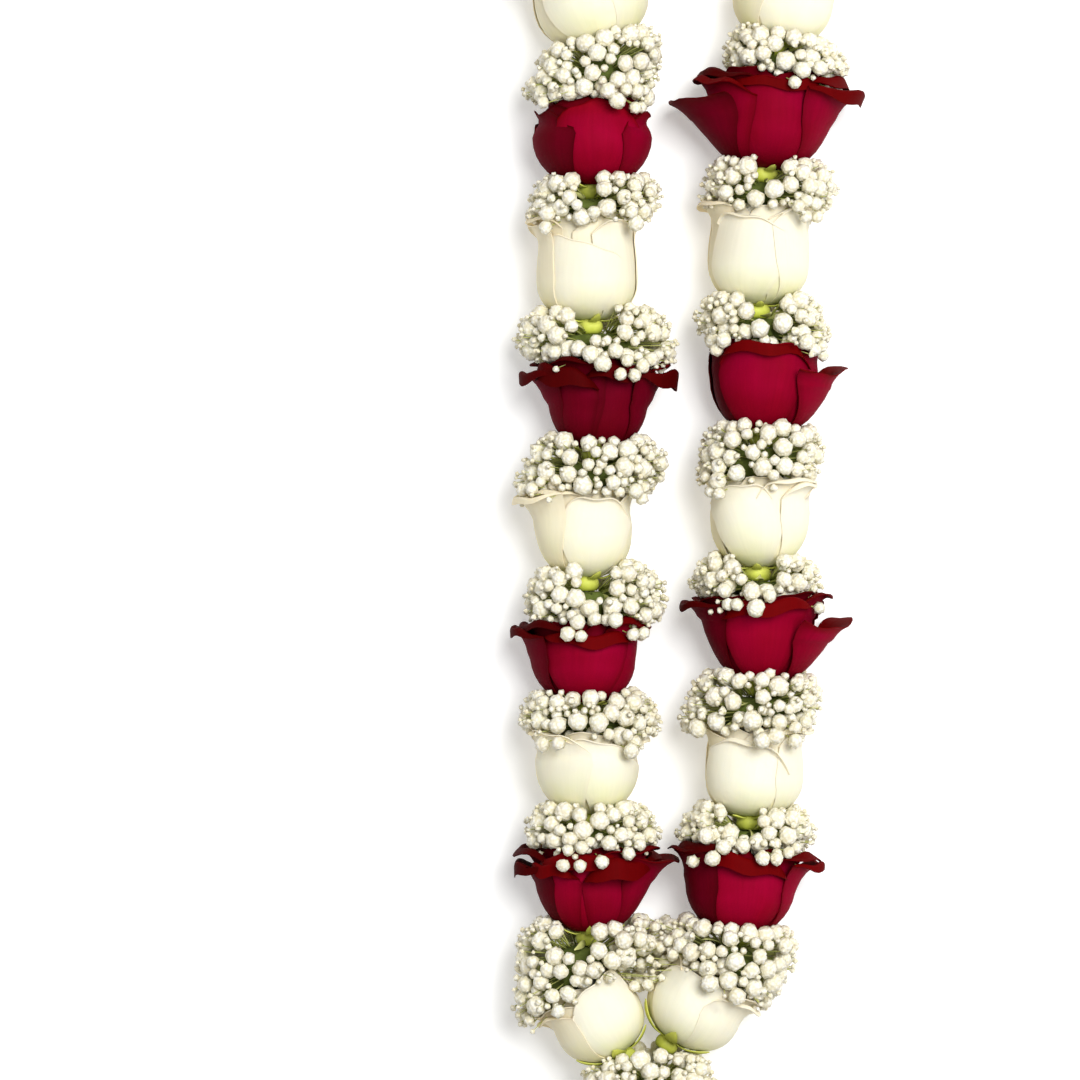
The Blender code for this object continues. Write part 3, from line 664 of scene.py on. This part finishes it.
def stalk(shape, path, radius, tone_and_shade):
    """A thin tapering stem with three sides along a path of points, closed at both ends."""
    path = np.asarray(path, float)
    along = np.gradient(path, axis=0)
    along /= np.linalg.norm(along, axis=1, keepdims=True)
    helper = np.array([0.31, 0.17, 0.93])
    side = np.cross(along, helper)
    side /= np.linalg.norm(side, axis=1, keepdims=True)
    other = np.cross(along, side)
    angles = np.linspace(0, tau, 3, endpoint=False)
    taper = np.linspace(1, 0.7, len(path))[:, None, None] * radius
    rings = path[:, None] + taper * (side[:, None] * np.cos(angles)[None, :, None]
                                     + other[:, None] * np.sin(angles)[None, :, None])
    add_turned(shape, rings, GREEN, tone_and_shade, np.linspace(0, 1, len(path)))


def leaf(shape, start, tip, half_width, rng):
    """A narrow pointed leaf from its start to its tip, bowed a little: a thin closed shell."""
    t = np.linspace(0, 1, 8)[:, None, None]
    u = np.array((-1, 0, 1))[None, :, None]
    along = tip - start
    side = np.cross(along, (rng(-1, 1), rng(-1, 1), rng(-1, 1)))
    side /= np.linalg.norm(side)
    bow = np.cross(side, along) * rng(-0.15, 0.15)
    width = half_width * np.sin(pi * (0.08 + 0.9 * t) ** 0.8)
    outer = start + along * t + bow * np.sin(pi * t) + side * width * u + 0.2 * bow * np.abs(u)
    add_leaf(shape, outer, 0.35 * MM, Matrix(), GREEN, 0.5, 0.6 + 0.6 * t[..., 0])


class Gap:
    """The gap that a collar fills: a curved line from an open face to the hip after it."""

    def __init__(self, low, high):
        self.low, self.high = low, high
        self.length = (high.translation - low.translation).length

    def at(self, s):
        """The frame a distance along it, which runs straight on past its two ends."""
        t = min(1, max(0, s / self.length))
        made = self.low.to_quaternion().slerp(self.high.to_quaternion(), t).to_matrix().to_4x4()
        made.translation = self.low.translation.lerp(self.high.translation, t)
        if s < 0:
            made.translation += self.low.col[2].xyz * s
        if s > self.length:
            made.translation += self.high.col[2].xyz * (s - self.length)
        return made


# The low end of a collar's outline, and of the last bunch's, which closes: distances from the thread
# and along the gap, in millimetres.
COLLAR_END = ((24.5, -3.5),)
TAIL_END = ((6.5, -3), (13, -4.5), (20, -5), (26, -3.5))

# How far off another collar's florets may touch, how far two of one collar may press into each
# other, and how clear of the petals they stay, as shares of their radii.
NEIGHBOUR_REACH = 0.08
PRESSED_SHARE = 0.82
CLEAR_SHARE = 1.02
MOVED_SHARE = 1.08
TRIES = 14
LEAVES = 12


def hanging_count(name):
    """How many florets a collar hangs over its rose's rim: most where it is red, by its name's end."""
    if name in LOWEST_COLLARS:
        return 0
    return HANGING_ON_RED if name[-1] in "v02468" else HANGING_ON_WHITE


def clear_of(roses, point, size):
    """The point, moved out where its floret would touch a rose, or None where it has no room."""
    hit, normal, _, distance = roses.find_nearest(point)
    if (point - hit).dot(normal) < 0:
        return None
    if distance < size * MM * CLEAR_SHARE:
        point = hit + normal * size * MM * MOVED_SHARE
        distance = roses.find_nearest(point)[3]
        if distance < size * MM or point.z < size * MM:
            return None
    return point


def florets_of(name, gap, roses, taken, rng):
    """The places of a collar's florets, their radii in millimetres and their ways out from the
    thread. They fill it from the largest to the smallest, where chance finds room."""
    g = gap.length / MM
    collar = COLLARS.get(name, Collar())
    low_end = TAIL_END if name == "tail" else COLLAR_END
    profile = np.array(low_end + ((29, 0), (COLLAR_BELLY, 3.5), (COLLAR_BELLY, g * 0.5 + 2),
                                  (30, g + 3.5), (26.5, g + 8), (21.5, g + 11)))
    lengths = np.concatenate([[0], np.cumsum(np.linalg.norm(np.diff(profile, axis=0), axis=1))])
    drops = collar.drops or [rng(0.15, 0.85) for _ in range(3)]
    middle = np.array(gap.at(gap.length / 2).translation)
    others = np.reshape([floret for floret in taken if dist(floret[:3], middle) < NEIGHBOUR_REACH], (-1, 4))
    places, sizes, outs = [], [], []

    def spot(size, depth, where):
        """A place by chance, or None where it is in the window, and how far along the gap it is."""
        along = rng(0, lengths[-1])
        r = np.interp(along, lengths, profile[:, 0])
        s = np.interp(along, lengths, profile[:, 1])
        azimuth = rng(0, tau)
        if where == "sides":
            azimuth = rng.choice((0, pi)) + rng.gauss(0, 0.5)
        if where == "lip":
            azimuth = pi * rng.choice(drops) + rng.gauss(0, 0.16)
            r, s = 36 - 6 * cos(azimuth) ** 2, rng(-7.5, 1)
        side = collar.left if cos(azimuth) > 0 else collar.right
        if where == "lip":
            side = min(side, HANGING_HALF_WIDTH)
        stretch = (r - depth) / COLLAR_BELLY
        local = Vector(((side * stretch - size) * cos(azimuth),
                        (COLLAR_RADIUS * stretch - size) * sin(azimuth), 0))
        if collar.window and local.y > 0 and s > g - 3:
            middle_x, half = collar.window
            if abs(local.x - middle_x) < half + 0.4 * size:
                return None, s
        if where != "fill":
            return gap.at(s * MM) @ (local * MM), s
        x, y, z = (centre + rng(-1, 1) * spread for centre, spread in zip(FILL, FILL_SPREAD))
        return Vector((*on_table(x, y), z * MM)), s

    def try_one(size, depth, where):
        """Adds a floret where it is clear of the roses and of the other florets."""
        point, s = spot(size, depth, where)
        if point is None:
            return False
        point.z = max(point.z, size * MM * CLEAR_SHARE)
        point = clear_of(roses, point, size)
        if point is None:
            return False
        here = np.array(point)
        for centres, radii, share in ((others[:, :3], others[:, 3], 1), (places, sizes, PRESSED_SHARE)):
            near = np.linalg.norm(np.reshape(centres, (-1, 3)) - here, axis=1)
            if (near < share * (np.array(radii) + size) * MM).any():
                return False
        places.append(here)
        sizes.append(size)
        out = here - np.array(gap.at((0.5 * s + 0.25 * g) * MM).translation)
        outs.append(out / np.linalg.norm(out))
        return True

    filling = FILL_COUNT if name in LOWEST_COLLARS else 0
    share = LOWEST_SHARE if filling else max(1, lengths[-1] / COMMON_SKIN_LENGTH)
    # How many, their least and largest radius, how deep they may sit under the outline, and where.
    passes = (
        (hanging_count(name), 2.8, 4.2, 0, "lip"),
        (filling, 2.6, 4, 0, "fill"),
        (42 * share, 3.6, 4.8, 2, "all"),
        (50 * share, 2.5, 3.4, 4.5, "all"),
        (filling, 1.3, 2.4, 0, "fill"),
        (50, 1.5, 2.3, 4, "all"),
        (56, 1, 1.6, -1.5, "sides"),
        (3, 1.1, 1.7, 0, "lip"),
    )
    for wanted, smallest, largest, deepest, where in passes:
        made = tries = 0
        while made < wanted and tries < wanted * TRIES:
            size = rng(smallest, largest)
            made += try_one(size, rng(min(0, deepest), max(0, deepest)), where)
            tries += 1
    taken += [(*place, size) for place, size in zip(places, sizes)]
    return places, sizes, outs


def add_florets(shape, gap, florets, rng):
    """Adds the florets and buds, each on a stalk that runs back to the thread."""
    half = gap.length / 2
    centre = gap.at(half)
    inverse = centre.inverted()
    for here, size, out in zip(*florets):
        lean = (Vector(out) + Vector([rng(-0.35, 0.35) for _ in range(3)])).normalized()
        turn = lean.to_track_quat("Z", "Y").to_matrix() @ Matrix.Rotation(rng(0, tau), 3, "Z")
        turn = np.array(turn)
        balls = next(kind for least, kind in FLORETS if size > least)
        ball, faces = balls[rng.randrange(len(balls))]
        # A random tone for each floret; the small buds draw higher ones, more beige, as painted shade.
        tone_and_shade = rng(0, 1) if size > 1.6 else rng(0.6, 1.6)
        shape.add(ball * size * MM @ turn.T + here, (faces,), MAIN, tone_and_shade, (ball[:, 2] + 1) / 2)
        axis = turn[:, 2]
        foot = here - axis * size * MM * 0.86
        back = inverse @ Vector(here)
        inner = Vector((back.x, back.y, 0)).normalized() * rng(7, 10) * MM
        inner.z = max(-half, min(half, back.z * 0.5))
        root = np.array(centre @ inner)
        middle = (foot + root) / 2 - axis * 1.5 * MM
        path = [root, 0.2 * root + 0.8 * middle, foot, here - axis * size * MM * 0.5]
        stalk(shape, path, (0.45 if size > 2.5 else 0.3) * MM, rng(0, 1))


def add_leaves(shape, name, gap, rng):
    """Adds the narrow leaves among the stalks."""
    collar = COLLARS.get(name, Collar())
    for _ in range(LEAVES):
        azimuth = rng(0, tau)
        side = collar.left if cos(azimuth) > 0 else collar.right
        matrix = gap.at(rng(0.1, 1.2) * gap.length)
        start = Vector((8 * cos(azimuth), 8 * sin(azimuth), rng(-1, 1)))
        tip = Vector(((side - 5) * cos(azimuth), 25 * sin(azimuth), rng(-3, 3)))
        tip *= rng(0.85, 1)
        start, tip = (np.array(matrix @ (end * MM)) for end in (start, tip))
        leaf(shape, start, tip, rng(1.1, 1.7) * MM, rng)


def add_core(shape, gap, rng):
    """Adds the core: the cut stems, wound together on the thread, in a green darker than the stems' as
    painted shade.
    """
    g = gap.length / MM
    core = ((4, -0.8), (8, -0.8), (12.5, 0.2), (15.5, 2.2), (17, g / 2), (15, g - 2.2),
            (13, g - 0.8), (8.5, g - 0.5), (4, g - 0.7))
    angles = np.linspace(0, tau, 36, endpoint=False)
    rings = []
    for radius, s in core:
        lumps = 1 + 0.1 * np.sin(9 * angles + rng(0, 6))
        lumps = lumps + 0.08 * np.sin(17 * angles + rng(0, 6))
        x, y = radius * lumps * np.cos(angles), radius * lumps * np.sin(angles)
        rings.append(placed(np.stack([x, y, 0 * angles], axis=1) * MM, gap.at(s * MM)))
    add_turned(shape, rings, CORE, 0.5, np.full(len(core), 0.5))


def bunch(name, low, high, roses, taken):
    """A collar of baby's breath between two flowers: florets, stalks, leaves and core."""
    shape = Shape()
    rng = Chance(f"{SEED} bunch {name}")
    gap = Gap(low, high)
    add_florets(shape, gap, florets_of(name, gap, roses, taken, rng), rng)
    add_leaves(shape, name, gap, rng)
    add_core(shape, gap, rng)
    made = shape.piece(f"baby_breath_{name}_bunch",
                       (MATERIALS["baby_breath"], MATERIALS["stem"], MATERIALS["core"]), 180)
    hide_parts(f"baby_breath_{name}")


# The least radius of each kind of floret, in millimetres, and its shapes.
FLORETS = tuple(
    (least, [floret_ball(Chance(f"{SEED} {label} {k}"), rings, sides, ruffle) for k in range(many)])
    for label, least, many, rings, sides, ruffle in (
        ("open", 3.4, 14, 5, 13, 0.07), ("half", 2.4, 12, 4, 10, 0.07), ("small", 1.6, 8, 3, 8, 0.06),
        ("bud", 0, 4, 3, 6, 0.03)))


class Nodes:
    """Builds one Principled material a node at a time."""

    def __init__(self, name):
        self.material = bpy.data.materials.new(name)
        self.material.use_nodes = True
        self.tree = self.material.node_tree
        self.shader = self.tree.nodes["Principled BSDF"]

    def put(self, socket, value):
        if isinstance(value, bpy.types.NodeSocket):
            self.tree.links.new(value, socket)
        else:
            socket.default_value = value

    def set(self, **values):
        for label, value in values.items():
            self.put(self.shader.inputs[label.replace("_", " ")], value)

    def node(self, kind, inputs=(), **settings):
        made = self.tree.nodes.new(kind)
        for label, value in settings.items():
            setattr(made, label, value)
        for key, value in dict(inputs).items():
            self.put(made.inputs[key], value)
        return made

    def attribute(self, name):
        return self.node("ShaderNodeAttribute", attribute_name=name).outputs["Fac"]

    def noise(self, scale, detail, vector):
        inputs = {"Scale": scale, "Detail": detail, "Vector": vector}
        return self.node("ShaderNodeTexNoise", inputs).outputs["Fac"]

    def ramp(self, value, stops):
        made = self.node("ShaderNodeValToRGB", {"Fac": value})
        band = made.color_ramp
        while len(band.elements) < len(stops):
            band.elements.new(0.5)
        for element, (place, colour) in zip(band.elements, stops):
            element.position = place
            element.color = (*colour, 1)
        return made.outputs["Color"]

    def mix(self, share, a, b, blend="MIX"):
        made = self.node("ShaderNodeMix", {0: share}, data_type="RGBA", blend_type=blend)
        for socket, colour in ((made.inputs[6], a), (made.inputs[7], b)):
            self.put(socket, colour if isinstance(colour, bpy.types.NodeSocket) else (*colour, 1))
        return made.outputs[2]

    def math(self, operation, a, b=0):
        return self.node("ShaderNodeMath", {0: a, 1: b}, operation=operation).outputs[0]

    def times(self, a, b):
        return self.math("MULTIPLY", a, b)

    def bump(self, height, strength, distance):
        inputs = {"Height": height, "Strength": strength, "Distance": distance}
        return self.node("ShaderNodeBump", inputs).outputs[0]


def petal_material(name, stops, inner, edge, edge_share, blotch, blotch_share, shade, streak, specular,
                   subsurface):
    """Petals: colour from base to rim, another inside, painted shade on the edges and by tone, blotches,
    veins.
    """
    n = Nodes(name)
    height, tone_and_shade, across = n.attribute("height"), n.attribute("tone_and_shade"), n.attribute("across")
    place = n.node("ShaderNodeTexCoord").outputs["Object"]
    colour = n.ramp(height, stops)
    soft = n.ramp(n.noise(55, 2, place), ((0.35, (0, 0, 0)), (0.65, (1, 1, 1))))
    colour = n.mix(n.times(soft, blotch_share), colour, blotch)
    # Darker, warmer edges across the petals' sides: painted shade where they overlap, on the whites partly
    # their own peach.
    side = n.math("POWER", n.math("ABSOLUTE", across), 6)
    colour = n.mix(n.times(side, edge_share), colour, edge)
    colour = n.mix(n.attribute("inside"), colour, inner)
    # Painted shade: each petal is darker by its tone, most on the petals on the left, away from the light.
    colour = n.mix(tone_and_shade, colour, shade, "MULTIPLY")
    spread = n.node("ShaderNodeCombineXYZ", {
        "X": n.times(across, 12), "Y": n.times(height, 1.6), "Z": n.times(tone_and_shade, 60)}).outputs[0]
    veins = n.noise(1, 5, spread)
    streaks = n.ramp(veins, ((0.3, (streak,) * 3), (0.7, (1, 1, 1))))
    colour = n.mix(1, colour, streaks, "MULTIPLY")
    pores = n.noise(1400, 3, place)
    grain = n.math("ADD", n.times(veins, 0.6), n.times(pores, 0.35))
    n.set(Base_Color=colour, Roughness=0.7, Specular_IOR_Level=specular,
          Normal=n.bump(grain, 0.25, 0.0004), Subsurface_Weight=subsurface,
          Subsurface_Radius=(1, 0.8, 0.5), Subsurface_Scale=0.003)
    return n.material


def plain_material(name, low, high, roughness, scale, bump, tint=None):
    """Green parts and cotton: one colour to another by height and grain, tinted by tone and shade."""
    n = Nodes(name)
    place = n.node("ShaderNodeTexCoord").outputs["Object"]
    grain = n.noise(scale, 4, place)
    share = n.math("ADD", n.times(n.attribute("height"), 0.75),
                   n.times(n.math("SUBTRACT", grain, 0.5), 0.5))
    colour = n.mix(share, low, high)
    if tint:
        colour = n.mix(n.times(n.attribute("tone_and_shade"), 0.4), colour, tint)
    n.set(Base_Color=colour, Roughness=roughness, Specular_IOR_Level=0.2,
          Normal=n.bump(grain, bump, 0.0004))
    return n.material


def floret_material(name, low, high, tint):
    """Florets: tiny white petals, creamier by the stalk, with painted shade in their folds."""
    n = Nodes(name)
    place = n.node("ShaderNodeTexCoord").outputs["Object"]
    jitter = n.node("ShaderNodeTexNoise", {"Vector": place, "Scale": 500, "Detail": 2}).outputs["Color"]
    shifted = n.node("ShaderNodeMix", {0: 0.0012, 4: place, 5: jitter}, data_type="VECTOR").outputs[1]
    petals = n.node("ShaderNodeTexVoronoi", {"Vector": shifted, "Scale": 620}).outputs["Distance"]
    share = n.math("ADD", n.times(n.attribute("height"), 0.8), 0.15)
    colour = n.mix(share, low, high)
    colour = n.mix(n.times(n.attribute("tone_and_shade"), 0.35), colour, tint)
    # Painted shade: darker and beige in the folds between the tiny petals.
    fold_shade = n.ramp(petals, ((0.3, (1, 1, 1)), (0.75, (0.86, 0.82, 0.68))))
    colour = n.mix(1, colour, fold_shade, "MULTIPLY")
    rounded = n.math("SUBTRACT", 1, petals)
    n.set(Base_Color=colour, Roughness=0.6, Specular_IOR_Level=0.2, Normal=n.bump(rounded, 0.55, 0.0009),
          Subsurface_Weight=0.15, Subsurface_Radius=(1, 0.9, 0.7), Subsurface_Scale=0.0015)
    return n.material


MATERIALS = {
    # Red petals: darker towards the base, and darker towards the rim as painted shade on the rims and lips.
    "red": petal_material(
        "red_petal",
        stops=((0, (0.18, 0.0003, 0.006)), (0.3, (0.31, 0.0002, 0.024)), (0.66, (0.31, 0.0002, 0.026)),
               (0.84, (0.24, 0.0002, 0.009)), (1, (0.14, 0.0002, 0.0015))),
        inner=(0.14, 0.0002, 0.001), edge=(0.1, 0.0002, 0.0015), edge_share=0.6,
        blotch=(0.23, 0.0002, 0.009), blotch_share=0.6, shade=(0.3, 0.3, 0.25), streak=0.88,
        specular=0.03, subsurface=0.03),
    # White petals: green at the base, and beige towards the rim, partly their own peach and partly painted
    # shade under the florets.
    "white": petal_material(
        "white_petal",
        stops=((0, (0.6, 0.66, 0.22)), (0.14, (0.87, 0.85, 0.5)), (0.36, (0.95, 0.91, 0.69)),
               (0.8, (0.94, 0.88, 0.69)), (1, (0.9, 0.81, 0.62))),
        inner=(0.93, 0.85, 0.66), edge=(0.9, 0.81, 0.62), edge_share=0.4,
        blotch=(0.93, 0.86, 0.68), blotch_share=0.7, shade=(0.95, 0.89, 0.78), streak=0.965,
        specular=0.1, subsurface=0.3),
    # Painted light: the green of hips and sepals is made lighter against the shade they lie in; the tint
    # takes the V's, in full light, back down.
    "green": plain_material("hip_green", (0.52, 0.58, 0.06), (0.84, 0.86, 0.2), 0.5, 400, 0.2,
                            (0.32, 0.34, 0.04)),
    "stem": plain_material("stem_green", (0.34, 0.38, 0.07), (0.64, 0.64, 0.26), 0.6, 500, 0.2),
    # Painted shade: the core's green is darker than the stems', for the shade deep in the collar.
    "core": plain_material("stem_core_in_shade", (0.05, 0.075, 0.012), (0.21, 0.25, 0.05), 0.8, 600, 0.8),
    "baby_breath": floret_material("floret_white", (0.74, 0.72, 0.46), (0.97, 0.95, 0.89),
                                   (0.8, 0.74, 0.6)),
    "cotton": plain_material("cotton_thread", (0.6, 0.57, 0.48), (0.85, 0.82, 0.74), 0.9, 3000, 0.6),
}


def strand_blooms():
    """The blooms of the two strands, each from the V up, and on round its half of the neck."""
    strands = {}
    for name, side, strand in (("left", 1, LEFT_STRAND), ("right", -1, RIGHT_STRAND)):
        strands[name] = [bloom_of(*row) for row in strand]
        for x, y, lean in NECK_PLACES:
            x = NECK_LINE + side * (x - NECK_LINE)
            strands[name].append(bloom_of(x, y, side * lean, *NECK_BLOOM))
    return strands


def tree_of(objects):
    """One search tree of all their faces."""
    points, faces = [], []
    for thing in objects:
        start = len(points)
        points += [v.co.copy() for v in thing.data.vertices]
        faces += [[start + i for i in polygon.vertices] for polygon in thing.data.polygons]
    return BVHTree.FromPolygons(points, faces)


def build():
    """All roses, and then the bunches between them, which keep clear of them."""
    strands = strand_blooms()
    pendant = bloom_of(*PENDANT)
    roses = []
    for side, strand in strands.items():
        for k, bloom in enumerate(strand):
            roses.append(rose(f"{side}_{k + 1:02d}", bloom, "red" if k % 2 else "white"))
    roses.append(rose("pendant", pendant, "red"))
    tree = tree_of(roses)
    x, y = on_table(*V_KNOT)
    above_pendant = flower_frame(x, y - V_KNOT_RADIUS, 0)
    below = pendant.frame() @ Matrix.Translation((0, 0, 2.4 * MM - TAIL_LENGTH))
    turned = Matrix.Rotation(pi, 4, "Y")
    gaps = {
        "neck": (strands["left"][-1].face(), strands["right"][-1].face() @ turned),
        "v": (pendant.face(), above_pendant),
        "tail": (below, pendant.frame()),
    }
    for side, strand in strands.items():
        for k, (before, after) in enumerate(zip(strand, strand[1:])):
            gaps[f"{side}_{k + 1:02d}"] = (before.face(), after.frame())
    taken = []
    for name, (low, high) in gaps.items():
        bunch(name, low, high, tree, taken)


# The studio, in metres: the lights' names, places, sizes and powers, and the camera's place over the
# thread, its distance and the width of its field, which is the photo's.
LIGHTS = (("key", (0.6, 0.45, 2.1), 1.1, 57), ("fill", (-1, -0.3, 1.8), 1.8, 4))
AIM = Vector((0, -0.05, 0.03))
VIEW_PLACE = (-0.0665, -0.0573)
VIEW_DISTANCE = 2.2
VIEW_WIDTH = 0.486
SENSOR_WIDTH = 36


def stage():
    """The floor, the light and the camera, which looks down on what the photo shows."""
    mesh = bpy.data.meshes.new("floor")
    mesh.from_pydata([(-3, -3, 0), (3, -3, 0), (3, 3, 0), (-3, 3, 0)], [], [(0, 1, 2, 3)])
    floor = linked("floor", mesh)
    n = Nodes("floor_white")
    n.set(Base_Color=(0.85, 0.85, 0.85, 1), Roughness=0.9, Emission_Color=(1, 1, 1, 1),
          Emission_Strength=0.3)
    mesh.materials.append(n.material)
    for name, place, size, power in LIGHTS:
        light = bpy.data.lights.new(name, "AREA")
        light.size = size
        light.energy = power
        lamp = linked(name, light)
        lamp.location = place
        lamp.rotation_euler = (AIM - lamp.location).to_track_quat("-Z", "Y").to_euler()
    world = bpy.data.worlds.new("studio")
    world.use_nodes = True
    background = world.node_tree.nodes["Background"]
    background.inputs["Color"].default_value = (1, 1, 1, 1)
    background.inputs["Strength"].default_value = 0.28
    bpy.context.scene.world = world
    camera = bpy.data.cameras.new("camera")
    camera.sensor_width = SENSOR_WIDTH
    camera.lens = SENSOR_WIDTH * VIEW_DISTANCE / VIEW_WIDTH
    camera.clip_end = 20
    eye = linked("camera", camera)
    eye.location = (*VIEW_PLACE, THREAD_HEIGHT + VIEW_DISTANCE)
    bpy.context.scene.camera = eye
    bpy.context.scene.view_settings.view_transform = "Standard"


build()
frame["nodes"]["thread"].material_slots[0].material = MATERIALS["cotton"]
for thing in list(bpy.context.scene.objects):
    if thing.type == "MESH" and "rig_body" not in thing:
        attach(thing, "root")
stage()
